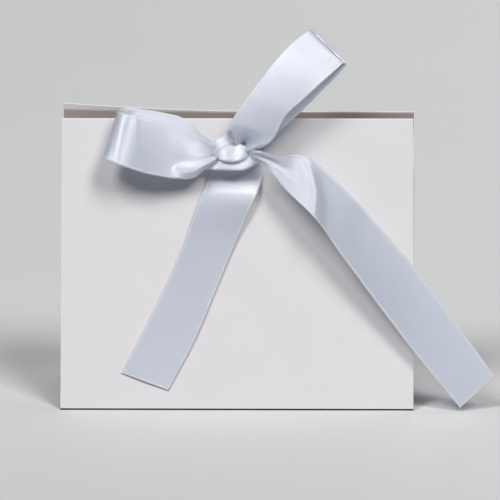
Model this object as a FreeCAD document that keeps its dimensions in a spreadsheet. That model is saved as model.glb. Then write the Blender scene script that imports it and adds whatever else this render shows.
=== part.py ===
"""Wedge-shaped white card box, tied shut with a satin ribbon bow.

Frame: millimetres, origin on the floor under the middle of the base, +X to the
right, +Y away from the viewer, +Z up. The front and back walls lean together
from the two long creases of the base. Each wall carries two side flaps, and the
back wall's flaps lie outside the front wall's, so that the walls can close.
"""

import FreeCAD, Part
import math
import os

import Sketcher
from FreeCAD import Placement, Rotation, Vector

SIZES = {
    # Card box
    "panel_width": (104.0, "front wall, edge to edge"),
    "wall_slant": (86.0, "crease to top edge, up the slope"),
    "base_depth": (56.0, "crease to crease"),
    "lean": (14.5, "degrees that each wall leans in"),
    "card": (0.5, "board thickness"),
    "clearance": (0.3, "between flaps that slide past each other"),
    "crease_gap": (0.15, "between a wall's rounded foot and the base"),
    "flap_depth": (34.0, "side flap, at its foot"),
    "flap_foot": (3.0, "flap's outer foot above the base"),
    "flap_neck_height": (70.0, "up the slope, where the flap turns in to its wall"),
    "flap_neck_depth": (11.0, "flap depth there"),
    "flap_top_height": (76.0, "up the slope, where the flap meets its wall"),
    "flap_start": (1.0, "up the slope, the flap's lower corner"),
    "flare": (6.3, "how far the back wall's top left corner bends back"),
    "flare_start": (15.0, "to the right of the middle, where that bend starts"),
    # Ribbon holes
    "hole_diameter": (7.0, "punched in both walls"),
    "hole_spacing": (8.0, "between the two holes of a wall"),
    "hole_height": (76.0, "up the slope"),
    "knot_offset": (-2.0, "of the knot and the holes from the middle"),
    # Ribbon
    "ribbon_width": (15.0, "satin ribbon"),
    "ribbon_thickness": (0.4, "doubled at the selvedge"),
    "cord_diameter": (2.2, "the same ribbon gathered through a hole"),
    "knot_width": (11.2, "along the wall"),
    "knot_height": (9.2, "up the slope"),
    "knot_depth": (7.0, "off the wall"),
    "gather_width": (6.0, "ribbon where it is drawn into the knot"),
    "left_loop_reach": (36.5, "knot to bend"),
    "left_loop_angle": (170.0, "degrees from +X, in the wall"),
    "left_loop_bend": (4.0, "radius of the bend"),
    "left_loop_lift": (6.0, "degrees off the wall"),
    "left_loop_roll": (20.0, "degrees about its own length"),
    "left_loop_taper": (22.0, "length over which it is gathered"),
    "right_loop_reach": (43.0, "knot to bend"),
    "right_loop_angle": (47.5, "degrees from +X, in the wall"),
    "right_loop_bend": (3.6, "radius of the bend"),
    "right_loop_lift": (7.0, "degrees off the wall"),
    "right_loop_roll": (20.0, "degrees about its own length"),
    "right_loop_taper": (26.0, "length over which it is gathered"),
    "left_tail_length": (72.5, "knot to cut end"),
    "left_tail_angle": (248.1, "degrees from +X, in the wall"),
    "left_tail_start": (1.0, "off the wall at the knot"),
    "left_tail_end": (0.9, "off the wall at the cut end"),
    "left_tail_bow": (2.2, "how far its middle stands out from straight"),
    "right_tail_reach": (72.8, "knot to cut end, along X"),
    "right_tail_end": (5.4, "cut end's middle, up the slope"),
    "right_tail_angle": (39.0, "degrees from +X of its cut end"),
    "right_tail_spread_x": (31.0, "from the knot to where it lies flat, along X"),
    "right_tail_spread_drop": (17.5, "and down the slope"),
    "right_tail_turn": (14.0, "length over which it turns down to lie flat"),
    "right_tail_sag": (1.0, "how far its middle sags towards the wall"),
    "right_tail_lift": (6.0, "off the wall where it spreads"),
    "right_tail_rest": (0.7, "off the wall's plane at its cut end"),
    "back_run_height": (5.0, "ribbon lying on the back wall between the holes"),
    "back_run_thickness": (0.8, "folded ribbon there"),
}

# Sections of the right tail: steps of its turn and of its straight length, and the
# shares of the turn at which it leaves the knot and is fully open.
RIGHT_TAIL_BENDS = 8
RIGHT_TAIL_SAGS = 5
RIGHT_TAIL_INSIDE = 0.08
RIGHT_TAIL_OPEN = 0.7

doc = FreeCAD.newDocument("CardBox")
sheet = doc.addObject("Spreadsheet::Sheet", "Sizes")
for row, (alias, (value, note)) in enumerate(SIZES.items(), start=1):
    sheet.set(f"A{row}", alias)
    sheet.set(f"B{row}", str(value))
    sheet.set(f"C{row}", note)
    sheet.setAlias(f"B{row}", alias)
doc.recompute()


def size(alias):
    """A driving dimension, as the sheet holds it."""
    return float(sheet.get(alias))


def number(owner, formula):
    """What an expression comes to."""
    value = owner.evalExpression(formula)
    return float(getattr(value, "Value", value))


def origin_plane(body, role):
    """One of a body's own origin planes."""
    return next(f for f in body.Origin.OriginFeatures if f.Role == role)


def new_body(label, placement):
    """An empty body with its place."""
    body = doc.addObject("PartDesign::Body", label)
    body.Label = label
    body.Placement = placement
    return body


def new_sketch(body, name, role, offset=Placement()):
    """A sketch on one of the body's origin planes."""
    sketch = body.newObject("Sketcher::SketchObject", name)
    sketch.AttachmentSupport = [(origin_plane(body, role), "")]
    sketch.MapMode = "FlatFace"
    sketch.AttachmentOffset = offset
    return sketch


def pin(sketch, edge, end, across, up):
    """Hold a point of an edge at two expressions from the sketch's origin."""
    for kind, formula in (("DistanceX", across), ("DistanceY", up)):
        value = number(sketch, formula)
        index = sketch.addConstraint(Sketcher.Constraint(kind, -1, 1, edge, end, value))
        sketch.setExpression(f"Constraints[{index}]", formula)


def polygon(sketch, corners):
    """A closed outline of straight lines through corners, given as pairs of expressions."""
    points = [Vector(number(sketch, a), number(sketch, b), 0) for a, b in corners]
    first = sketch.GeometryCount
    for start, end in zip(points, points[1:] + points[:1]):
        sketch.addGeometry(Part.LineSegment(start, end))
    for index, (across, up) in enumerate(corners):
        edge = first + index
        before = first + (index - 1) % len(corners)
        sketch.addConstraint(Sketcher.Constraint("Coincident", before, 2, edge, 1))
        pin(sketch, edge, 1, across, up)


def circle(sketch, across, up, diameter):
    """A circle whose centre and diameter are expressions."""
    centre = Vector(number(sketch, across), number(sketch, up), 0)
    radius = number(sketch, diameter) / 2
    edge = sketch.addGeometry(Part.Circle(centre, Vector(0, 0, 1), radius))
    pin(sketch, edge, 3, across, up)
    index = sketch.addConstraint(Sketcher.Constraint("Diameter", edge, 2 * radius))
    sketch.setExpression(f"Constraints[{index}]", diameter)


def pad(body, sketch, length, centred=True):
    """Extrude a sketch by an expression, to both sides of its plane or to one."""
    feature = body.newObject("PartDesign::Pad", f"{sketch.Name}_pad")
    feature.Profile = sketch
    feature.SideType = "Symmetric" if centred else "One side"
    feature.setExpression("Length", length)
    return feature


def cut_through(body, sketch):
    """Cut a sketch right through its body, to both sides of its plane."""
    doc.recompute()
    before = body.Shape.Volume
    feature = body.newObject("PartDesign::Pocket", f"{sketch.Name}_cut")
    feature.Profile = sketch
    feature.SideType = "Symmetric"
    feature.Type = "ThroughAll"
    doc.recompute()
    if not body.Shape.Volume < before:
        raise RuntimeError(f"{sketch.Name} cut nothing")


LEAN = size("lean")
FRONT_WALL = Placement(
    Vector(0, -size("base_depth") / 2, size("card") / 2), Rotation(Vector(1, 0, 0), -LEAN)
)
BACK_WALL = Placement(
    Vector(0, size("base_depth") / 2, size("card") / 2), Rotation(Vector(1, 0, 0), LEAN)
)
HALF_FRONT = "Sizes.panel_width / 2"
HALF_BACK = "(Sizes.panel_width / 2 + Sizes.clearance + Sizes.card)"
HALF_CARD = "Sizes.card / 2"
HOLES = [
    f"Sizes.knot_offset {sign} Sizes.hole_spacing / 2" for sign in ("-", "+")
]


def foot_bead(body, half_width):
    """The rounded foot of a wall, along its crease."""
    sketch = new_sketch(body, f"{body.Name}_bead", "YZ_Plane")
    circle(sketch, "0 * Sizes.card", "0 * Sizes.card", "Sizes.card")
    return pad(body, sketch, f"2 * {half_width}")


def ribbon_holes(body):
    """The two punched holes of a wall."""
    sketch = new_sketch(body, f"{body.Name}_holes", "XZ_Plane")
    for across in HOLES:
        circle(sketch, across, "Sizes.hole_height", "Sizes.hole_diameter")
    cut_through(body, sketch)


def base_panel():
    """The floor of the box, lying between the two creases and inside the flaps."""
    body = new_body("base_panel", Placement())
    sketch = new_sketch(body, "base_outline", "XY_Plane")
    across = "(Sizes.panel_width / 2 - Sizes.card - Sizes.clearance)"
    deep = "(Sizes.base_depth / 2 - Sizes.card / 2 - Sizes.crease_gap)"
    polygon(
        sketch,
        [(f"-{across}", f"-{deep}"), (across, f"-{deep}"), (across, deep), (f"-{across}", deep)],
    )
    pad(body, sketch, "Sizes.card", centred=False)
    return body


def front_panel():
    """The flat front wall with its ribbon holes."""
    body = new_body("front_panel", FRONT_WALL)
    sketch = new_sketch(body, "front_outline", "XZ_Plane")
    foot = "0 * Sizes.card"
    polygon(
        sketch,
        [
            (f"-{HALF_FRONT}", foot),
            (HALF_FRONT, foot),
            (HALF_FRONT, "Sizes.wall_slant"),
            (f"-{HALF_FRONT}", "Sizes.wall_slant"),
        ],
    )
    pad(body, sketch, "Sizes.card")
    foot_bead(body, HALF_FRONT)
    ribbon_holes(body)
    return body


def bent_section(sketch, bend):
    """A section of the back wall: straight on the right, bent back by an expression on the left."""
    run = f"({HALF_BACK} + Sizes.flare_start)"
    rise = number(sketch, bend)
    radius = f"(({run} ^ 2 + ({bend}) ^ 2) / (2 * ({bend})))"
    corners = []
    curves = []
    for side in ("", "-"):
        skin = f"{side}{HALF_CARD}"
        ends = [(HALF_BACK, skin), ("Sizes.flare_start", skin), (f"-{HALF_BACK}", f"{skin} + {bend}")]
        right, turn, left = (Vector(number(sketch, a), number(sketch, b), 0) for a, b in ends)
        straight = sketch.addGeometry(Part.LineSegment(right, turn))
        if rise:
            reach = number(sketch, radius)
            curve = arc(turn + Vector(0, reach, 0), reach, left, turn)
        else:
            curve = Part.LineSegment(left, turn)
        curve = sketch.addGeometry(curve)
        sketch.addConstraint(Sketcher.Constraint("Coincident", straight, 2, curve, 2))
        pin(sketch, straight, 1, *ends[0])
        pin(sketch, straight, 2, *ends[1])
        pin(sketch, curve, 1, *ends[2])
        if rise:
            index = sketch.addConstraint(Sketcher.Constraint("Radius", curve, reach))
            sketch.setExpression(f"Constraints[{index}]", radius)
        corners.append((right, left))
        curves.append((straight, curve))
    for end in range(2):
        edge = sketch.addGeometry(Part.LineSegment(corners[0][end], corners[1][end]))
        for side in range(2):
            join = Sketcher.Constraint("Coincident", edge, side + 1, curves[side][end], 1)
            sketch.addConstraint(join)


def back_panel():
    """The back wall: straight at its foot, its top left corner bent back."""
    body = new_body("back_panel", BACK_WALL)
    foot = new_sketch(body, "back_foot", "XY_Plane")
    bent_section(foot, "0 * Sizes.flare")
    top = new_sketch(body, "back_top", "XY_Plane")
    top.setExpression("AttachmentOffset.Base.z", "Sizes.wall_slant")
    bent_section(top, "Sizes.flare")
    loft = body.newObject("PartDesign::AdditiveLoft", "back_wall_loft")
    loft.Profile = foot
    loft.Sections = [top]
    loft.Ruled = True
    doc.recompute()
    foot_bead(body, HALF_BACK)
    ribbon_holes(body)
    return body


def side_flap(label, placement, inward, middle, bent=False):
    """A side flap in the plane of its wall's end.

    inward is the sign of the wall's own Y that points into the box, middle the X
    of the flap's middle, and bent says that the wall bends back at this end.
    """
    body = new_body(label, placement)
    sketch = new_sketch(body, f"{label}_outline", "YZ_Plane")
    sketch.setExpression("AttachmentOffset.Base.z", middle)
    slope = "tan(Sizes.lean * 1 deg)"
    upright = "cos(Sizes.lean * 1 deg)"
    foot = f"(Sizes.flap_depth * {slope} + (Sizes.flap_foot + {HALF_CARD}) / {upright})"
    inner_side = f"(({HALF_BACK} - Sizes.card + Sizes.flare_start) / ({HALF_BACK} + Sizes.flare_start))"
    share = f"{inner_side} ^ 2 * Sizes.flare / Sizes.wall_slant" if bent else "0 * Sizes.card"
    polygon(
        sketch,
        [
            (f"{inward} * {HALF_CARD} + {share} * Sizes.flap_start", "Sizes.flap_start"),
            (f"{inward} * Sizes.flap_depth", foot),
            (f"{inward} * Sizes.flap_neck_depth", "Sizes.flap_neck_height"),
            (f"{inward} * {HALF_CARD} + {share} * Sizes.flap_top_height", "Sizes.flap_top_height"),
        ],
    )
    pad(body, sketch, "Sizes.card")
    return body


def wall_point(x, off, up):
    """A point in the front wall's own frame: off is its distance out from the wall's middle."""
    return Vector(x, -off, up)


def ribbon_turn(angle, lift=0.0, roll=0.0):
    """A ribbon's own axes in the front wall's frame: X along it, Y off the wall, Z across it."""
    way = Vector(math.cos(math.radians(angle)), 0, math.sin(math.radians(angle)))
    out = Vector(0, -1, 0)
    turn = Rotation(way, out, way.cross(out), "XYZ")
    return turn * Rotation(Vector(0, 0, 1), lift) * Rotation(Vector(1, 0, 0), roll)


def ribbon_place(off, angle, lift=0.0, roll=0.0):
    """Where a ribbon that leaves the knot has its own axes."""
    start = wall_point(size("knot_offset"), off, size("hole_height"))
    return FRONT_WALL * Placement(start, ribbon_turn(angle, lift, roll))


def arc(centre, radius, start, end):
    """An arc from one point to another, turning left."""
    whole = Part.Circle(centre, Vector(0, 0, 1), radius)
    return Part.ArcOfCircle(whole, whole.parameter(start), whole.parameter(end))


def trimmed(label, piece, *tools):
    """A piece cut back to the faces of the pieces that it meets."""
    for index, tool in enumerate(tools):
        cut = doc.addObject("Part::Cut", f"{label}_trim_{index}")
        cut.Base = piece
        cut.Tool = tool
        piece = cut
    doc.recompute()
    piece.Label = label
    return piece


def ribbon_knot():
    """The knot: a rounded lump seated flat on the front wall."""
    lump = doc.addObject("Part::Ellipsoid", "knot_lump")
    for name, alias in (("Radius1", "knot_height"), ("Radius2", "knot_width"), ("Radius3", "knot_depth")):
        lump.setExpression(name, f"Sizes.{alias} / 2")
    lump.Placement = FRONT_WALL * Placement(
        wall_point(size("knot_offset"), size("knot_depth") / 2, size("hole_height")), Rotation()
    )
    wall = doc.addObject("Part::Box", "knot_seat")
    for name, alias in (("Length", "knot_width"), ("Width", "knot_depth"), ("Height", "knot_height")):
        wall.setExpression(name, f"Sizes.{alias}")
    corner = wall_point(
        size("knot_offset") - size("knot_width") / 2,
        size("card") / 2,
        size("hole_height") - size("knot_height") / 2,
    )
    wall.Placement = FRONT_WALL * Placement(corner, Rotation())
    return trimmed("ribbon_knot", lump, wall)


def loop_outline(sketch, bend, reach, skin):
    """One side of a loop of ribbon: a drop shape, skin in from the loop's outside."""
    centre = Vector(number(sketch, reach) - number(sketch, bend), 0, 0)
    outside = number(sketch, bend)
    radius = outside - number(sketch, skin)
    half_angle = math.asin(outside / centre.x)
    apex = Vector(number(sketch, skin) / math.sin(half_angle), 0, 0)
    back = Vector(-radius * math.sin(half_angle), -radius * math.cos(half_angle), 0)
    touch = [centre + back, centre + Vector(back.x, -back.y, 0)]
    lower = sketch.addGeometry(Part.LineSegment(apex, touch[0]))
    round_end = sketch.addGeometry(arc(centre, radius, touch[0], touch[1]))
    upper = sketch.addGeometry(Part.LineSegment(touch[1], apex))
    add = sketch.addConstraint
    add(Sketcher.Constraint("Tangent", lower, 2, round_end, 1))
    add(Sketcher.Constraint("Tangent", round_end, 2, upper, 1))
    add(Sketcher.Constraint("Coincident", upper, 2, lower, 1))
    pin(sketch, round_end, 3, f"{reach} - {bend}", f"0 * {bend}")
    index = add(Sketcher.Constraint("Radius", round_end, radius))
    sketch.setExpression(f"Constraints[{index}]", f"{bend} - {skin}")
    return lower, upper


def bow_loop(side, knot):
    """A loop of the bow: a band of ribbon bent back on itself, gathered into the knot."""
    label = f"bow_loop_{side}"
    sizes = {name: f"Sizes.{side}_loop_{name}" for name in ("reach", "bend", "taper")}
    place = ribbon_place(
        size("knot_depth") / 2,
        size(f"{side}_loop_angle"),
        size(f"{side}_loop_lift"),
        -size(f"{side}_loop_roll"),
    )
    body = new_body(f"{label}_band", place)
    sketch = new_sketch(body, f"{label}_side", "XY_Plane")
    outer = loop_outline(sketch, sizes["bend"], sizes["reach"], "0 * Sizes.ribbon_thickness")
    pin(sketch, outer[0], 1, "0 * Sizes.card", "0 * Sizes.card")
    inner = loop_outline(sketch, sizes["bend"], sizes["reach"], "Sizes.ribbon_thickness")
    for one, other in zip(outer, inner):
        sketch.addConstraint(Sketcher.Constraint("Parallel", one, other))
    pad(body, sketch, "Sizes.ribbon_width")
    gather = new_sketch(body, f"{label}_gather", "XZ_Plane")
    behind = "-Sizes.knot_width"
    for sign in ("", "-"):
        polygon(
            gather,
            [
                (behind, f"{sign}Sizes.gather_width / 2"),
                ("0 * Sizes.card", f"{sign}Sizes.gather_width / 2"),
                (sizes["taper"], f"{sign}Sizes.ribbon_width / 2"),
                (behind, f"{sign}Sizes.ribbon_width"),
            ],
        )
    cut_through(body, gather)
    return trimmed(label, body, knot)


def ribbon_tail_left(knot):
    """The tail that lies down the front wall, bowed out a little from it."""
    place = ribbon_place(size("card") / 2, size("left_tail_angle"))
    body = new_body("ribbon_tail_left_strip", place)
    sketch = new_sketch(body, "left_tail_side", "XY_Plane")
    first = ("Sizes.knot_height / 3", "Sizes.left_tail_start")
    last = ("Sizes.left_tail_length", "Sizes.left_tail_end")
    run = f"({last[0]} - {first[0]})"
    drop = f"({first[1]} - {last[1]})"
    span = f"sqrt({run} ^ 2 + {drop} ^ 2)"
    radius = f"(({span} ^ 2 / 4 + Sizes.left_tail_bow ^ 2) / (2 * Sizes.left_tail_bow))"
    start, end = (Vector(number(sketch, a), number(sketch, b), 0) for a, b in (first, last))
    across = end - start
    inward = Vector(across.y, -across.x, 0).normalize()
    reach = number(sketch, radius) - size("left_tail_bow")
    centre = (start + end) / 2 + inward * reach
    skin = Vector(0, size("ribbon_thickness"), 0)
    under = centre - skin
    bends = []
    for middle, low in ((centre, Vector()), (under, skin)):
        bends.append(sketch.addGeometry(arc(middle, number(sketch, radius), end - low, start - low)))
    ends = [
        sketch.addGeometry(Part.LineSegment(start, start - skin)),
        sketch.addGeometry(Part.LineSegment(end - skin, end)),
    ]
    add = sketch.addConstraint
    for one, one_end, other, other_end in (
        (bends[0], 2, ends[0], 1),
        (ends[0], 2, bends[1], 2),
        (bends[1], 1, ends[1], 1),
        (ends[1], 2, bends[0], 1),
    ):
        add(Sketcher.Constraint("Coincident", one, one_end, other, other_end))
    for bend, low in zip(bends, ("0 * Sizes.card", "Sizes.ribbon_thickness")):
        pin(sketch, bend, 2, first[0], f"{first[1]} - {low}")
        pin(sketch, bend, 1, last[0], f"{last[1]} - {low}")
        index = add(Sketcher.Constraint("Radius", bend, number(sketch, radius)))
        sketch.setExpression(f"Constraints[{index}]", radius)
    pad(body, sketch, "Sizes.ribbon_width")
    return trimmed("ribbon_tail_left", body, knot)


def between(start, end, share):
    """Part of the way from one number to another."""
    return start + (end - start) * share


def eased(share):
    """A share that starts and ends gently."""
    return share * share * (3 - 2 * share)


def right_tail_stations():
    """Middle, width and width's angle of each section of the right tail, knot first."""
    knot = wall_point(size("knot_offset"), size("knot_depth") / 2, size("hole_height"))
    spread = wall_point(
        size("knot_offset") + size("right_tail_spread_x"),
        size("right_tail_lift"),
        size("hole_height") - size("right_tail_spread_drop"),
    )
    tip = wall_point(
        size("knot_offset") + size("right_tail_reach"), size("right_tail_rest"), size("right_tail_end")
    )
    turn = spread + (spread - tip) * (size("right_tail_turn") / (tip - spread).Length)
    narrow, full = size("gather_width"), size("ribbon_width")
    square, upright = size("right_tail_angle"), 90.0
    stations = []
    for step in range(RIGHT_TAIL_BENDS + 1):
        share = between(RIGHT_TAIL_INSIDE, 1, step / RIGHT_TAIL_BENDS)
        middle = knot * (1 - share) ** 2 + turn * (2 * share * (1 - share)) + spread * share**2
        opened = eased(min(1, share / RIGHT_TAIL_OPEN))
        stations.append((middle, between(narrow, full, opened), between(upright, square, eased(share))))
    for step in range(1, RIGHT_TAIL_SAGS + 1):
        share = step / RIGHT_TAIL_SAGS
        sag = wall_point(0, size("right_tail_sag") * 4 * share * (1 - share), 0)
        stations.append((between(spread, tip, share) - sag, full, square))
    return stations


def ribbon_tail_right(knot):
    """The tail that twists out of the knot and runs past the wall's edge to the floor."""
    body = new_body("ribbon_tail_right_strip", FRONT_WALL)
    stations = right_tail_stations()
    middles = [middle for middle, _, _ in stations]
    sections = []
    for index, (middle, width, angle) in enumerate(stations):
        ahead = middles[min(index + 1, len(middles) - 1)] - middles[max(index - 1, 0)]
        across = Vector(math.cos(math.radians(angle)), 0, math.sin(math.radians(angle)))
        turn = Rotation(across, ahead.cross(across), ahead, "ZXY")
        sketch = new_sketch(body, f"right_tail_section_{index}", "XY_Plane", Placement(middle, turn))
        share = f"{width / size('ribbon_width'):.6f} * Sizes.ribbon_width / 2"
        skin = "Sizes.ribbon_thickness / 2"
        corners = [(f"-{share}", f"-{skin}"), (share, f"-{skin}"), (share, skin), (f"-{share}", skin)]
        polygon(sketch, corners)
        sections.append(sketch)
    loft = body.newObject("PartDesign::AdditiveLoft", "right_tail_loft")
    loft.Profile = sections[0]
    loft.Sections = sections[1:]
    loft.Ruled = True
    doc.recompute()
    return trimmed("ribbon_tail_right", body, knot)


def run_gap():
    """How far outside the back wall's middle the ribbon lies, clear of the wall's bend."""
    end = size("knot_offset") - size("hole_spacing") / 2 - size("back_run_height") / 2
    half = size("panel_width") / 2 + size("clearance") + size("card")
    bend = size("flare") * ((size("flare_start") - end) / (half + size("flare_start"))) ** 2
    return size("card") / 2 + bend + size("clearance")


def ribbon_back_run():
    """The ribbon between the two holes, lying on the outside of the back wall."""
    body = new_body("ribbon_back_run", BACK_WALL)
    middle = run_gap() + size("back_run_thickness") / 2
    sketch = new_sketch(body, "back_run_outline", "XZ_Plane", Placement(Vector(0, 0, -middle), Rotation()))
    radius = size("back_run_height") / 2
    up = size("hole_height")
    left, right = (number(sketch, across) for across in HOLES)
    round_ends = [
        sketch.addGeometry(
            arc(Vector(x, up, 0), radius, Vector(x, up + side * radius, 0), Vector(x, up - side * radius, 0))
        )
        for x, side in ((left, 1), (right, -1))
    ]
    flats = [
        sketch.addGeometry(Part.LineSegment(Vector(left, up - radius, 0), Vector(right, up - radius, 0))),
        sketch.addGeometry(Part.LineSegment(Vector(right, up + radius, 0), Vector(left, up + radius, 0))),
    ]
    add = sketch.addConstraint
    for one, other in (
        (round_ends[0], flats[0]),
        (flats[0], round_ends[1]),
        (round_ends[1], flats[1]),
        (flats[1], round_ends[0]),
    ):
        add(Sketcher.Constraint("Tangent", one, 2, other, 1))
    for end, across in zip(round_ends, HOLES):
        pin(sketch, end, 3, across, "Sizes.hole_height")
    index = add(Sketcher.Constraint("Radius", round_ends[0], radius))
    sketch.setExpression(f"Constraints[{index}]", "Sizes.back_run_height / 2")
    pad(body, sketch, "Sizes.back_run_thickness")
    return body


def ribbon_leg(side, across, knot, run):
    """The gathered ribbon that goes straight back from the knot through both walls."""
    leg = doc.addObject("Part::Cylinder", f"{side}_leg_bar")
    leg.setExpression("Radius", "Sizes.cord_diameter / 2")
    x = number(leg, across)
    hole = FRONT_WALL.multVec(Vector(x, 0, size("hole_height")))
    start = FRONT_WALL.multVec(wall_point(x, size("knot_depth") / 2, size("hole_height")))
    depth = run_gap() + size("back_run_thickness") / 2
    slant = math.radians(LEAN)
    rise = (hole.z - BACK_WALL.Base.z) * math.sin(slant)
    end = BACK_WALL.Base.y + (depth - rise) / math.cos(slant)
    leg.Height = end - start.y
    leg.Placement = Placement(Vector(x, start.y, hole.z), Rotation(Vector(1, 0, 0), -90))
    return trimmed(f"ribbon_leg_{side}", leg, knot, run)


def build():
    """Every sub-part, in the order that the box is put together."""
    front_side = f"({HALF_FRONT} - {HALF_CARD})"
    back_side = f"({HALF_BACK} - {HALF_CARD})"
    parts = [
        base_panel(),
        front_panel(),
        side_flap("front_flap_left", FRONT_WALL, "1", f"-{front_side}"),
        side_flap("front_flap_right", FRONT_WALL, "1", front_side),
        back_panel(),
        side_flap("back_flap_left", BACK_WALL, "-1", f"-{back_side}", bent=True),
        side_flap("back_flap_right", BACK_WALL, "-1", back_side),
    ]
    knot = ribbon_knot()
    run = ribbon_back_run()
    parts += [
        knot,
        bow_loop("left", knot),
        bow_loop("right", knot),
        ribbon_tail_left(knot),
        ribbon_tail_right(knot),
        ribbon_leg("left", HOLES[0], knot, run),
        ribbon_leg("right", HOLES[1], knot, run),
        run,
    ]
    return parts


def write(parts):
    """Check every object and shape, then write one file for each sub-part."""
    doc.recompute()
    for item in doc.Objects:
        if any(word in item.State for word in ("Invalid", "Error")):
            raise RuntimeError(f"{item.Label} failed: {item.State}")
    for part in parts:
        shape = part.Shape
        if shape.isNull() or not shape.isValid() or len(shape.Solids) != 1:
            raise RuntimeError(f"{part.Label} is not one valid solid")
    os.makedirs("parts", exist_ok=True)
    for part in parts:
        part.Shape.exportStep(f"parts/{part.Label}.step")
        print(f"{part.Label}: {part.Shape.Volume:.1f} cubic mm")


write(build())
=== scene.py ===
"""Looks of the card favour box: matt white board, a satin ribbon bow and a pale studio floor.

Lengths are millimetres until a mesh is made. Ribbon points are written in the front
wall's own frame: to the right along the wall, up its slope, and out from its middle.
"""

import math

import bpy
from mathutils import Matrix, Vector


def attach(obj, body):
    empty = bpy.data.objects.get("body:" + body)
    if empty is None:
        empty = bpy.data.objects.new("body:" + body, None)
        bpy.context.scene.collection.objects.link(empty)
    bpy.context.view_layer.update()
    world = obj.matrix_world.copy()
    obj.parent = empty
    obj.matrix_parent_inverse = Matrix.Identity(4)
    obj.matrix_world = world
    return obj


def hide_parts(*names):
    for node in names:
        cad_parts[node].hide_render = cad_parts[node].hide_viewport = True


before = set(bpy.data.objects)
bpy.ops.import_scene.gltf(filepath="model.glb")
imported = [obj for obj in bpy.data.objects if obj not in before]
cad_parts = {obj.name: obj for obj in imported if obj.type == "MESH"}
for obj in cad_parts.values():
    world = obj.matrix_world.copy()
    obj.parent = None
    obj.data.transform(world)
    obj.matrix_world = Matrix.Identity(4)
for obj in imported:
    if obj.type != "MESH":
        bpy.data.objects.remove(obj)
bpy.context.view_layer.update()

MM = 0.001

# The folded board. Heights of the painted fold shade and of the painted rim highlight are above the
# floor.
LEAN = math.radians(14.5)
BASE_DEPTH = 56.0
CARD = 0.5
PAINTED_FOLD_SHADE_HEIGHT = 0.49
RIM_HIGHLIGHT_LOW = 82.85
RIM_HIGHLIGHT_DEPTH = 0.65
HOLE_HEIGHT = 76.0
HOLES_RIGHT = (-6.0, 2.0)

# The ribbon, its woven edge and the fineness of its meshes.
RIBBON_WIDTH = 15.0
SATIN_THICKNESS = 0.22
PICOT_PITCH = 0.8
PICOT_DEPTH = 0.07
EDGE_CURL = 0.4
STATION_STEP = PICOT_PITCH / 4
FLAT_COLUMNS = 24
ROLLED_COLUMNS = 64
PLEATED_COLUMNS = 100

# The studio, in metres.
LAMP_DISTANCE = 28.0
FLOOR_REACH = 40.0


class Value:
    """A number that varies over a surface. Arithmetic on it adds Math nodes."""

    def __init__(self, finish, socket):
        self.finish = finish
        self.socket = socket

    def maths(self, operation, first, second):
        node = self.finish.node("ShaderNodeMath", {"operation": operation}, {0: first, 1: second})
        return Value(self.finish, node.outputs[0])

    def __add__(self, other):
        return self.maths("ADD", self, other)

    def __sub__(self, other):
        return self.maths("SUBTRACT", self, other)

    def __rsub__(self, other):
        return self.maths("SUBTRACT", other, self)

    def __mul__(self, other):
        return self.maths("MULTIPLY", self, other)

    def __lt__(self, other):
        return self.maths("LESS_THAN", self, other)

    def __abs__(self):
        return self.maths("ABSOLUTE", self, 0.0)

    def sine(self):
        return self.maths("SINE", self, 0.0)

    __radd__ = __add__
    __rmul__ = __mul__


class Finish:
    """A material made of nodes around one surface shader."""

    def __init__(self, name, constants):
        self.material = bpy.data.materials.new(name)
        self.material.use_nodes = True
        self.tree = self.material.node_tree
        self.surface = self.tree.nodes["Principled BSDF"]
        for socket, value in constants.items():
            self.surface.inputs[socket].default_value = value

    def feed(self, socket, value):
        if isinstance(value, Value):
            value = value.socket
        if isinstance(value, bpy.types.NodeSocket):
            self.tree.links.new(value, socket)
        else:
            socket.default_value = value

    def node(self, kind, settings, sockets):
        node = self.tree.nodes.new(kind)
        for name, value in settings.items():
            setattr(node, name, value)
        for key, value in sockets.items():
            self.feed(node.inputs[key], value)
        return node

    def varies(self, socket, value):
        self.feed(self.surface.inputs[socket], value)

    def noise(self, place, scale, detail=2.0):
        sockets = {"Vector": place, "Scale": scale, "Detail": detail}
        return Value(self, self.node("ShaderNodeTexNoise", {}, sockets).outputs[0])

    def axis(self, vector, name):
        """The X, Y or Z part of a vector."""
        return Value(self, self.node("ShaderNodeSeparateXYZ", {}, {"Vector": vector}).outputs[name])

    def vector(self, operation, first, second, output="Vector"):
        node = self.node("ShaderNodeVectorMath", {"operation": operation}, {0: first, 1: second})
        return node.outputs[output]

    def mix(self, share, first, second):
        settings = {"data_type": "RGBA", "clamp_factor": True}
        return self.node("ShaderNodeMix", settings, {0: share, 6: first, 7: second}).outputs[2]

    def relief(self, height, depth):
        """Bump of a height field, whose full step is depth metres."""
        sockets = {"Strength": 1.0, "Distance": depth, "Height": height}
        self.varies("Normal", self.node("ShaderNodeBump", {}, sockets).outputs["Normal"])


def colour(red, green, blue):
    return (red, green, blue, 1.0)


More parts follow.
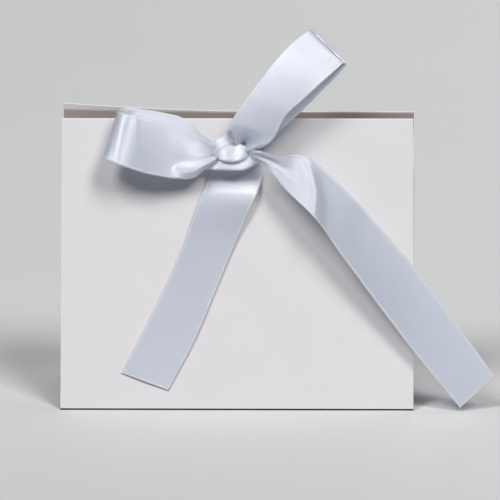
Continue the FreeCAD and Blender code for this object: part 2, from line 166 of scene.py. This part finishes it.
def board_finish():
    """Matt white board with fibres and mottling: coated outside, warmer and darker inside, partly an
    uncoated board colour and partly painted shade of the box's interior.

    Its cut edges are pale; a pale band along the top rim is a painted highlight, and a painted black
    band at the foot of the walls is the shade in the gap under the fold at the floor.
    """
    fibre_scale = 2600.0
    fibre_detail = 5.0
    mottle_scale = 70.0
    mottle_detail = 3.0
    mottle_height = 0.6
    relief_depth = 0.04 * MM
    middle = (0.0, 0.0, 40.0 * MM)
    nearly_level = 0.9
    upper_part = 50.0 * MM
    coated_roughness = 0.55
    fibre_roughness = 0.15
    inside_roughness = 0.12
    # the cut core's own pale colour, also used for the painted rim highlight
    pale_core_and_highlight = colour(0.95, 0.94, 0.93)
    # painted shade: near-black for the gap under the fold at the floor
    painted_gap_shade = colour(0.004, 0.004, 0.004)

    finish = Finish("white board", {"Specular IOR Level": 0.3})
    coordinates = finish.node("ShaderNodeTexCoord", {}, {})
    place = coordinates.outputs["Object"]
    normal = coordinates.outputs["Normal"]
    fibres = finish.noise(place, fibre_scale, fibre_detail)
    mottle = finish.noise(place, mottle_scale, mottle_detail)
    from_middle = finish.vector("SUBTRACT", place, middle)
    inside = Value(finish, finish.vector("DOT_PRODUCT", normal, from_middle, "Value")) < 0.0
    height = finish.axis(place, "Z")
    level = 1 - (finish.axis(normal, "Z") < nearly_level)
    cut_edge = level * (1 - (height < upper_part))
    # painted highlight: a pale band painted along the top of the walls
    painted_rim_highlight = (height - RIM_HIGHLIGHT_LOW * MM) * (1 / (RIM_HIGHLIGHT_DEPTH * MM))
    # painted shade: the lowest half millimetre of every panel is painted black
    painted_fold_shade = height < PAINTED_FOLD_SHADE_HEIGHT * MM

    coated = finish.mix(mottle, colour(0.81, 0.78, 0.775), colour(0.86, 0.83, 0.823))
    # inside colour: partly uncoated board, partly painted shade of the box's interior
    uncoated_and_shade = finish.mix(mottle, colour(0.535, 0.435, 0.41), colour(0.585, 0.485, 0.455))
    faces = finish.mix(inside, coated, uncoated_and_shade)
    edged = finish.mix(painted_rim_highlight, finish.mix(cut_edge, faces, pale_core_and_highlight), pale_core_and_highlight)
    finish.varies("Base Color", finish.mix(painted_fold_shade, edged, painted_gap_shade))
    roughness = coated_roughness + fibre_roughness * fibres + inside_roughness * inside
    finish.varies("Roughness", roughness)
    finish.relief(fibres + mottle_height * mottle, relief_depth)
    return finish.material


def satin_finish():
    """Satin weave: round warp threads along the ribbon, slubs, and a corded selvedge with picots."""
    threads = 90.0
    relief_depth = 0.04 * MM
    slub_stretch = (30.0, 0.8, 1.0)
    slub_scale = 3.0
    slub_height = 0.4
    picot_height = 0.5
    half_body = 0.452
    pale_end_length = 0.035
    body_roughness = 0.38
    slub_roughness = 0.06
    selvedge_roughness = 0.10
    end_pale = colour(0.84, 0.87, 0.92)
    constants = {"IOR": 5.6, "Coat Weight": 0.4, "Coat Roughness": 0.2,
                 "Subsurface Weight": 0.4, "Subsurface Scale": 0.6 * MM,
                 "Subsurface Radius": (1.0, 1.0, 1.0)}

    finish = Finish("pale satin", constants)
    weave = finish.node("ShaderNodeTexCoord", {}, {}).outputs["UV"]
    across = finish.axis(weave, "X")
    along = finish.axis(weave, "Y")
    slubs = finish.noise(finish.vector("MULTIPLY", weave, slub_stretch), slub_scale)
    warp = abs((across * (math.pi * threads)).sine())
    picots = (along * (math.tau * RIBBON_WIDTH / PICOT_PITCH)).sine()
    selvedge = 1 - (abs(across - 0.5) < half_body)
    # the last half millimetre before the cut end is paler
    cut_end = along < pale_end_length

    body = finish.mix(slubs, colour(0.575, 0.63, 0.815), colour(0.63, 0.685, 0.865))
    edge = finish.mix(picots * 0.5 + 0.5, colour(0.60, 0.655, 0.80), colour(0.86, 0.885, 0.94))
    hemmed = finish.mix(selvedge, body, edge)
    finish.varies("Base Color", finish.mix(cut_end, hemmed, end_pale))
    roughness = body_roughness + slub_roughness * slubs + selvedge_roughness * selvedge
    finish.varies("Roughness", roughness)
    finish.relief(warp + slub_height * slubs + picot_height * picots * selvedge, relief_depth)
    return finish.material


def floor_finish():
    """Plain pale floor. It throws back less light on the box than its own colour would."""
    cloud_scale = 4.0
    thrown_back = colour(0.30, 0.335, 0.39)
    finish = Finish("pale floor", {"Roughness": 0.8, "Specular IOR Level": 0.2})
    place = finish.node("ShaderNodeTexCoord", {}, {}).outputs["Object"]
    path = finish.node("ShaderNodeLightPath", {}, {})
    seen = Value(finish, path.outputs["Is Camera Ray"])
    for ray in ("Is Glossy Ray", "Is Transmission Ray"):
        seen = seen + Value(finish, path.outputs[ray])
    clouds = finish.noise(place, cloud_scale)
    shown = finish.mix(clouds, colour(0.69, 0.69, 0.69), colour(0.71, 0.71, 0.71))
    finish.varies("Base Color", finish.mix(seen, thrown_back, shown))
    return finish.material


def on_wall(right, up, out):
    """A point of the front wall's frame in metres."""
    depth = -BASE_DEPTH / 2 + up * math.sin(LEAN) - out * math.cos(LEAN)
    height = CARD / 2 + up * math.cos(LEAN) + out * math.sin(LEAN)
    return Vector((right, depth, height)) * MM


def on_back_wall(right, up, out):
    """The same for the back wall, which leans the other way."""
    front = on_wall(right, up, out)
    return Vector((front.x, -front.y, front.z))


def along_curve(points, t):
    """The point at t on a smooth curve through the points, where t counts them."""
    last = len(points) - 1
    k = min(int(t), last - 1)
    f = t - k
    near = [Vector(points[min(max(i, 0), last)]) for i in range(k - 1, k + 3)]
    before, start, end, after = near
    slope_start = (end - before) / 2
    slope_end = (after - start) / 2
    return (start * (2 * f**3 - 3 * f**2 + 1) + slope_start * (f**3 - 2 * f**2 + f)
            + end * (3 * f**2 - 2 * f**3) + slope_end * (f**3 - f**2))


def even_stations(first, second):
    """Values of t, evenly spaced along the line midway between two edges, and its length."""
    fine = 40
    tiny = 1e-9
    count = (len(first) - 1) * fine
    marks = [i / fine for i in range(count + 1)]
    middles = [(along_curve(first, t) + along_curve(second, t)) / 2 for t in marks]
    run = [0.0]
    for a, b in zip(middles, middles[1:]):
        run.append(run[-1] + (b - a).length)
    steps = max(2, round(run[-1] / STATION_STEP))
    stations = []
    k = 0
    for i in range(steps + 1):
        wanted = run[-1] * i / steps
        while k < count - 1 and run[k + 1] < wanted:
            k += 1
        stations.append(marks[k] + (wanted - run[k]) / max(run[k + 1] - run[k], tiny) / fine)
    return stations, run[-1]


def cloth_mesh(name, rows, length, finish):
    """A ribbon piece from rows of points, with the weave's own coordinates and a little thickness."""
    columns = len(rows[0])
    points = [p for row in rows for p in row]
    faces = []
    for i in range(len(rows) - 1):
        for j in range(columns - 1):
            k = i * columns + j
            faces.append((k, k + 1, k + columns + 1, k + columns))
    mesh = bpy.data.meshes.new(name)
    mesh.from_pydata(points, [], faces)
    weave = mesh.uv_layers.new(name="weave")
    for loop in mesh.loops:
        i, j = divmod(loop.vertex_index, columns)
        from_end = (1 - i / (len(rows) - 1)) * length
        weave.data[loop.index].uv = (j / (columns - 1), from_end / RIBBON_WIDTH)
    mesh.shade_smooth()
    mesh.materials.append(finish)
    piece = bpy.data.objects.new(name, mesh)
    bpy.context.scene.collection.objects.link(piece)
    thick = piece.modifiers.new("thickness", "SOLIDIFY")
    thick.thickness = SATIN_THICKNESS * MM
    thick.offset = 0.0
    return piece


def ribbon(name, first, second, finish, fold):
    """A ribbon between two edges. fold gives the rise in mm at a length and a share across it."""
    stations, length = even_stations(first, second)
    rows = []
    for i, t in enumerate(stations):
        a = along_curve(first, t)
        b = along_curve(second, t)
        outward = (b - a).normalized()
        run = length * i / (len(stations) - 1)
        picot = PICOT_DEPTH * math.sin(math.tau * run / PICOT_PITCH)
        row = []
        for j in range(FLAT_COLUMNS + 1):
            share = j / FLAT_COLUMNS
            p = a.lerp(b, share)
            if j == 0:
                p = p - outward * picot
            if j == FLAT_COLUMNS:
                p = p + outward * picot
            p.z += fold(run, share)
            row.append(on_wall(*p))
        rows.append(row)
    return cloth_mesh(name, rows, length, finish), length


def ease(value, low, high):
    """0 below low, 1 above high, and smooth between."""
    f = min(max((value - low) / (high - low), 0.0), 1.0)
    return f * f * (3 - 2 * f)


def ridge(value, centre, width):
    """1 at the centre, falling off smoothly to about 0 at twice the width."""
    return math.exp(-((value - centre) / width) ** 2)


def settle(piece, length, nodes):
    """A finished ribbon piece rides on the front wall, in place of the imported parts that it hides.
    """
    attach(piece, "front_wall")
    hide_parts(*nodes)
    length * MM


def loop_left(finish):
    """The bow's left loop, from the knot along its front half, round the bend and back."""
    top = [(-6.5, 77.5, 5.0), (-9.5, 79.0, 5.2), (-13.9, 81.4, 5.6), (-19.8, 83.3, 6.5),
           (-23.3, 84.3, 7.2), (-25.7, 84.9, 7.7), (-28.1, 85.4, 8.2), (-29.8, 85.8, 8.6),
           (-31.6, 86.2, 8.6), (-33.4, 86.7, 8.1), (-34.6, 87.2, 7.3), (-35.2, 87.8, 6.1),
           (-34.6, 88.4, 4.6), (-32.0, 88.8, 3.4), (-28.5, 88.5, 2.7), (-21.3, 87.3, 2.6),
           (-16.1, 85.8, 2.8), (-10.0, 81.0, 2.8), (-6.0, 78.0, 2.8)]
    bottom = [(-6.0, 73.0, 4.2), (-9.5, 70.5, 4.1), (-13.4, 67.8, 4.5), (-19.0, 67.7, 6.0),
              (-22.6, 68.2, 7.2), (-25.7, 68.7, 8.4), (-28.4, 69.4, 9.6), (-30.4, 70.0, 10.4),
              (-32.6, 70.7, 11.1), (-34.8, 71.5, 11.3), (-36.9, 72.4, 10.6), (-38.6, 73.1, 9.7),
              (-39.6, 73.6, 8.2), (-39.0, 74.0, 6.0), (-36.0, 74.2, 4.2), (-28.0, 73.4, 2.8),
              (-20.0, 72.6, 2.4), (-10.5, 73.0, 2.2), (-6.0, 74.5, 2.8)]
    roll_height = 1.9
    pleat_height = 0.3
    pleat_turn = 9.0
    groove_depth = 0.2

    def gathers(run, share):
        """A roll near the lower edge, and small pleats that fade away from the knot."""
        near = 1 - ease(run, low=2.0, high=17.0)
        shortens = 1 - ease(run, low=6.0, high=14.0)
        roll = roll_height * ridge(share, centre=0.84, width=0.12) * shortens
        pleats = pleat_height * math.sin(share * pleat_turn)
        groove = groove_depth * ridge(share, centre=0.60, width=0.14)
        return roll + near * (pleats - groove)

    piece, length = ribbon("satin_loop_left", top, bottom, finish, gathers)
    settle(piece, length, ["bow_loop_left"])


def loop_right(finish):
    """The bow's right loop. It stands above the wall, its right edge nearer to the viewer."""
    left = [(-0.6, 77.6, 6.2), (-1.7, 81.5, 8.6), (-1.3, 84.9, 8.9), (2.9, 91.4, 8.8),
            (6.9, 96.7, 8.3), (10.8, 102.0, 7.5), (15.5, 107.4, 6.3), (19.7, 111.0, 4.9),
            (21.9, 111.7, 4.0), (21.0, 110.5, 3.4), (14.0, 102.3, 4.2), (8.5, 96.0, 4.4),
            (3.0, 89.4, 4.0), (-0.3, 83.4, 2.6), (-1.0, 78.5, 1.4)]
    right = [(2.4, 75.4, 4.8), (7.6, 76.8, 8.0), (10.8, 79.5, 9.6), (14.2, 85.8, 10.5),
             (18.7, 90.0, 11.1), (23.8, 94.6, 11.4), (28.4, 98.8, 11.1), (31.0, 101.2, 10.2),
             (31.8, 101.1, 9.3), (31.2, 99.9, 9.2), (25.0, 93.4, 10.4), (20.2, 88.6, 10.0),
             (13.6, 82.7, 8.8), (8.9, 77.9, 4.6), (3.0, 76.5, 1.6)]
    lip_height = 0.8
    dimple_depth = 3.6
    far_edge_drop = 1.9

    def dimple(run, share):
        """A dimple and a lip at the knot. The far layer's right edge curls away from the viewer."""
        near = 1 - ease(run, low=3.0, high=8.0)
        lip = lip_height * ridge(share, centre=0.9, width=0.2)
        hollow = dimple_depth * ridge(share, centre=0.46, width=0.20)
        far_edge = ease(run, low=43.0, high=52.0) * ease(share, low=0.70, high=1.0)
        return near * (lip - hollow) - far_edge_drop * far_edge

    piece, length = ribbon("satin_loop_right", left, right, finish, dimple)
    settle(piece, length, ["bow_loop_right"])


def tail_left(finish):
    """The left tail: out from under the knot, over a hump, then down the wall to its cut end."""
    left = [(-6.0, 76.0, 0.5), (-7.4, 72.0, 0.5), (-8.3, 69.4, 0.5), (-9.0, 67.3, 0.6),
            (-9.8, 65.2, 0.8), (-10.7, 63.1, 1.0), (-11.8, 60.3, 1.1), (-13.2, 56.5, 1.0),
            (-14.6, 52.6, 0.8), (-15.8, 49.1, 0.7), (-20.2, 38.5, 0.6), (-26.2, 26.0, 0.6),
            (-34.1, 10.6, 0.5)]
    right = [(6.0, 76.5, 0.5), (7.5, 72.8, 0.5), (7.5, 70.0, 0.6), (7.2, 67.7, 0.9),
             (6.5, 65.4, 1.6), (5.6, 63.1, 2.3), (4.4, 60.5, 2.4), (2.8, 56.8, 1.9),
             (0.8, 52.0, 1.2), (-1.6, 46.4, 0.8), (-6.2, 34.9, 0.6), (-12.4, 20.2, 0.6),
             (-20.1, 5.5, 0.5)]
    cup_height = 0.2

    def cupping(run, share):
        """The middle stands a little prouder than the edges below the hump."""
        return cup_height * math.sin(math.pi * share) * ease(run, low=12.0, high=30.0)

    piece, length = ribbon("satin_tail_left", left, right, finish, cupping)
    settle(piece, length, ["ribbon_tail_left"])


def tail_right(finish):
    """The right tail: fanned out of the knot, turned over a soft crease, then straight to its end."""
    upper = [(3.0, 76.0, 5.0), (6.6, 75.6, 9.0), (12.1, 74.2, 8.6), (17.0, 74.5, 7.5),
             (19.8, 74.1, 7.1), (22.9, 72.4, 7.1), (26.6, 69.1, 6.9), (33.3, 62.9, 6.0),
             (39.5, 56.2, 5.0), (52.2, 41.6, 3.6), (63.8, 26.3, 2.6), (75.9, 9.8, 1.6)]
    lower = [(3.0, 73.4, 4.0), (6.6, 72.6, 7.0), (9.8, 69.8, 8.2), (13.6, 65.1, 8.7),
             (17.4, 61.2, 9.2), (21.6, 57.1, 9.7), (25.0, 53.2, 9.5), (28.6, 47.9, 8.9),
             (33.0, 41.9, 8.0), (43.7, 27.6, 5.7), (54.6, 13.6, 3.6), (65.6, 0.5, 1.8)]
    pleat_height = 0.35
    pleat_turn = 12.0
    pleat_start = 2.4
    crest_height = 1.05
    crest_first = 16.3
    crest_shift = 8.3
    crest_straight_from = 0.6
    rise_width = 2.3
    fall_width = 3.2
    fall_widening = 4.0
    valley_depth = 0.2
    valley_before = 6.5
    valley_width = 2.4

    def turn(run, share):
        """Pleats that fan out of the knot, a valley, and the crest of the slanting crease."""
        fan = (1 - ease(run, low=6.0, high=20.0)) * ease(run, low=1.0, high=5.0)
        pleats = pleat_height * math.cos(share * pleat_turn - pleat_start)
        slant = math.sin(math.pi / 2 * min(share / crest_straight_from, 1.0))
        crest_at = crest_first + crest_shift * slant
        falls_over = fall_width + fall_widening * (1 - ease(share, low=0.0, high=0.35))
        crest = crest_height * ridge(run, crest_at, rise_width if run < crest_at else falls_over)
        valley = valley_depth * ridge(run, crest_at - valley_before, valley_width)
        return fan * pleats - valley + crest

    piece, length = ribbon("satin_tail_right", upper, lower, finish, turn)
    settle(piece, length, ["ribbon_tail_right"])


def rolled(name, path, core, finish, half_width, crown, sweep,
           bulge=0.0, taper=0.0, pleat=0.0, wall=on_wall):
    """A ribbon rolled in from both edges, its round side away from the core.

    crown is its height and sweep its turn from edge to edge in degrees. bulge widens it
    in the middle, taper towards its end, and pleat is the height of pleats along it.
    """
    pleats_round = 7
    nudge = 0.01
    stations, length = even_stations(path, path)
    rows = []
    for i, t in enumerate(stations):
        share = i / (len(stations) - 1)
        half = half_width + bulge * math.sin(math.pi * share) + taper * share
        p = along_curve(path, t)
        ahead = along_curve(path, min(t + nudge, len(path) - 1))
        behind = along_curve(path, max(t - nudge, 0.0))
        forward = (ahead - behind).normalized()
        outward = p - Vector(core)
        outward = (outward - forward * outward.dot(forward)).normalized()
        sideways = forward.cross(outward)
        row = []
        for j in range(ROLLED_COLUMNS + 1):
            angle = math.radians(sweep) * (j / ROLLED_COLUMNS - 0.5)
            curl = 1 - EDGE_CURL * (2 * j / ROLLED_COLUMNS - 1) ** 2
            rise = crown * math.cos(angle) + pleat * math.cos(pleats_round * angle)
            offset = sideways * half * math.sin(angle) + outward * rise
            row.append(wall(*(p + offset * curl)))
        rows.append(row)
    return cloth_mesh(name, rows, length, finish), length


def knot(finish):
    """The knot: a puffed band over the middle, a wrap that swings under it, and a strip above it."""
    over = [(-6.6, 75.7, 2.4), (-5.6, 75.6, 4.0), (-3.8, 75.5, 4.9), (-1.6, 75.4, 5.2),
            (0.6, 75.5, 5.0), (2.4, 75.6, 4.2), (3.4, 75.7, 2.6)]
    band, length = rolled("satin_knot_band", over, (-1.6, 73.4, 0.0), finish,
                          half_width=1.2, crown=1.3, sweep=400.0, bulge=2.2)
    settle(band, length, ["ribbon_knot"])

    under = [(-9.2, 73.6, 1.6), (-7.8, 73.3, 2.9), (-6.0, 72.9, 3.7), (-3.5, 72.7, 4.2),
             (-1.2, 72.4, 4.5), (1.2, 72.4, 4.5), (3.7, 73.3, 4.3), (5.4, 74.2, 4.0),
             (7.2, 74.9, 3.8)]
    wrap, length = rolled("satin_knot_wrap", under, (-1.7, 70.0, -3.0), finish,
                          half_width=3.2, crown=1.0, sweep=440.0, taper=-1.3)
    settle(wrap, length, ["ribbon_knot"])

    above = [(-8.8, 76.2, 2.0), (-7.6, 76.7, 3.2), (-5.6, 77.7, 4.0), (-3.6, 78.8, 4.2),
             (-2.0, 80.0, 3.8), (-0.8, 81.6, 2.4)]
    strip, length = rolled("satin_knot_strip", above, (-1.7, 74.0, -3.0), finish,
                           half_width=2.4, crown=0.8, sweep=520.0)
    settle(strip, length, ["ribbon_knot"])


def pleated(name, place, length, finish, half_width, depth):
    """A ribbon gathered into pleats. place gives a point at a share along, from two offsets."""
    pleats = 5
    fullness = 1.02
    steps = round(length / STATION_STEP)
    rows = []
    for i in range(steps + 1):
        along = i / steps
        row = []
        for j in range(PLEATED_COLUMNS + 1):
            w = 2 * j / PLEATED_COLUMNS - 1
            rise = depth * math.sqrt(max(fullness - w * w, 0.0)) * math.sin(math.pi * pleats * w)
            row.append(place(along, half_width * w, rise) * MM)
        rows.append(row)
    return cloth_mesh(name, rows, length, finish)


def legs(finish):
    """The ribbon, gathered through the holes of both walls, and its run across the back."""
    height = CARD / 2 + HOLE_HEIGHT * math.cos(LEAN)
    wall_depth = BASE_DEPTH / 2 - HOLE_HEIGHT * math.sin(LEAN)
    past_front = 1.5
    past_back = 1.0
    leg_start = -wall_depth - past_front
    leg_end = wall_depth + past_back
    twist = math.radians(20.0)
    for name, right in zip(("left", "right"), HOLES_RIGHT):

        def through(along, side, rise, right=right):
            angle = twist * along
            across = side * math.cos(angle) - rise * math.sin(angle)
            upward = side * math.sin(angle) + rise * math.cos(angle)
            depth = leg_start + along * (leg_end - leg_start)
            return Vector((right + across, depth, height + upward))

        leg = pleated("satin_leg_" + name, through, leg_end - leg_start, finish,
                      half_width=1.4, depth=0.9)
        settle(leg, leg_end - leg_start, ["ribbon_leg_" + name])

    across = [(-7.4, 76.0, -2.0), (-7.2, 76.0, -0.4), (-6.2, 76.0, 0.9), (-4.4, 76.0, 1.5),
              (-2.0, 76.0, 1.7), (0.4, 76.0, 1.5), (2.2, 76.0, 0.9), (3.2, 76.0, -0.4),
              (3.4, 76.0, -2.0)]
    run, length = rolled("satin_back_run", across, (-2.0, 76.0, -4.0), finish,
                         half_width=1.8, crown=0.7, sweep=390.0, bulge=1.9, pleat=0.3,
                         wall=on_back_wall)
    settle(run, length, ["ribbon_back_run"])


def floor(finish):
    """A broad floor that fills the view."""
    mesh = bpy.data.meshes.new("floor")
    corners = [(-FLOOR_REACH, -FLOOR_REACH, 0.0), (FLOOR_REACH, -FLOOR_REACH, 0.0),
               (FLOOR_REACH, FLOOR_REACH, 0.0), (-FLOOR_REACH, FLOOR_REACH, 0.0)]
    mesh.from_pydata(corners, [], [(0, 1, 2, 3)])
    mesh.materials.append(finish)
    plane = bpy.data.objects.new("floor", mesh)
    bpy.context.scene.collection.objects.link(plane)


def lamp(name, azimuth, elevation, width, height, power):
    """A distant lamp aimed at the box. Azimuth is to the right of the front, in degrees."""
    a = math.radians(azimuth)
    e = math.radians(elevation)
    direction = Vector((math.sin(a) * math.cos(e), -math.cos(a) * math.cos(e), math.sin(e)))
    light = bpy.data.lights.new(name, "AREA")
    light.shape = "RECTANGLE"
    light.size = width
    light.size_y = height
    light.energy = power
    holder = bpy.data.objects.new(name, light)
    holder.location = direction * LAMP_DISTANCE
    holder.rotation_euler = direction.to_track_quat("Z", "Y").to_euler()
    bpy.context.scene.collection.objects.link(holder)


def studio():
    """Two distant soft lamps from the upper front, a low one behind, and a dim even surround."""
    lamp("lamp_right", azimuth=34.0, elevation=49.0, width=8.0, height=13.0, power=4350.0)
    lamp("lamp_left", azimuth=-38.0, elevation=50.0, width=9.0, height=11.0, power=4200.0)
    lamp("lamp_behind", azimuth=165.0, elevation=4.0, width=14.0, height=2.5, power=3400.0)
    world = bpy.data.worlds.new("surround")
    world.use_nodes = True
    surround = world.node_tree.nodes["Background"]
    surround.inputs["Color"].default_value = colour(0.75, 0.92, 1.10)
    surround.inputs["Strength"].default_value = 0.025
    bpy.context.scene.world = world
    bpy.context.scene.view_settings.view_transform = "Standard"


def camera():
    """A long lens, looking a little down on the box from the front."""
    distance = 0.9
    pitch = math.radians(11.62)
    yaw = math.radians(0.48)
    target = Vector((3.79, -17.0, 45.9)) * MM
    ahead = math.cos(pitch)
    view = Vector((-math.sin(yaw) * ahead, math.cos(yaw) * ahead, -math.sin(pitch)))
    lens = bpy.data.cameras.new("camera")
    lens.sensor_width = 36.0
    lens.lens = 219.5
    holder = bpy.data.objects.new("camera", lens)
    holder.location = target - view * distance
    holder.rotation_euler = view.to_track_quat("-Z", "Y").to_euler()
    bpy.context.scene.collection.objects.link(holder)
    bpy.context.scene.camera = holder


def card_box(finish):
    """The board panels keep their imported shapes."""
    for name in ("base_panel", "front_panel", "front_flap_left", "front_flap_right",
                 "back_panel", "back_flap_left", "back_flap_right"):
        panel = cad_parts[name]
        panel.data.materials.clear()
        panel.data.materials.append(finish)


card_box(board_finish())
satin = satin_finish()
loop_left(satin)
loop_right(satin)
tail_left(satin)
tail_right(satin)
knot(satin)
legs(satin)
floor(floor_finish())
studio()
camera()
